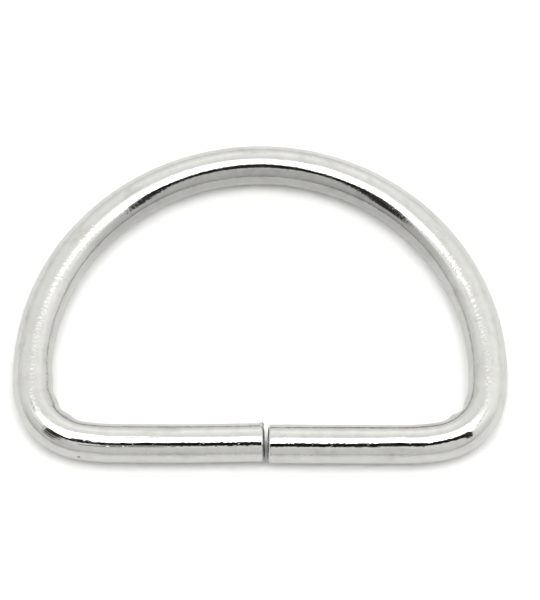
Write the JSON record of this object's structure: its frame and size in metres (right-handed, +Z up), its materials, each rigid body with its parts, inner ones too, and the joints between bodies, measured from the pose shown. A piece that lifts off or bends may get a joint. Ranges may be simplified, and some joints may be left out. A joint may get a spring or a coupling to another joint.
{
  "type": "d ring",
  "caption": "Round-wire D ring lying flat: a straight bar for a folded webbing strap, tight corners and a round arch for a hook, with an open butt joint in the bar.",
  "frame": {"origin": "middle of the ring's outline seen from above, on the surface it lies on", "axes": "+X along the straight bar, +Y from the bar to the arch, +Z up out of the surface that the ring lies on"},
  "size_m": [0.038, 0.0262, 0.003],
  "materials": {
    "nickel_plate": "bright nickel plate on steel wire, with fine lengthwise draw lines and a few small pits"
  },
  "bodies": {
    "root": {"wire_ring": "nickel_plate"}
  },
  "joints": []
}
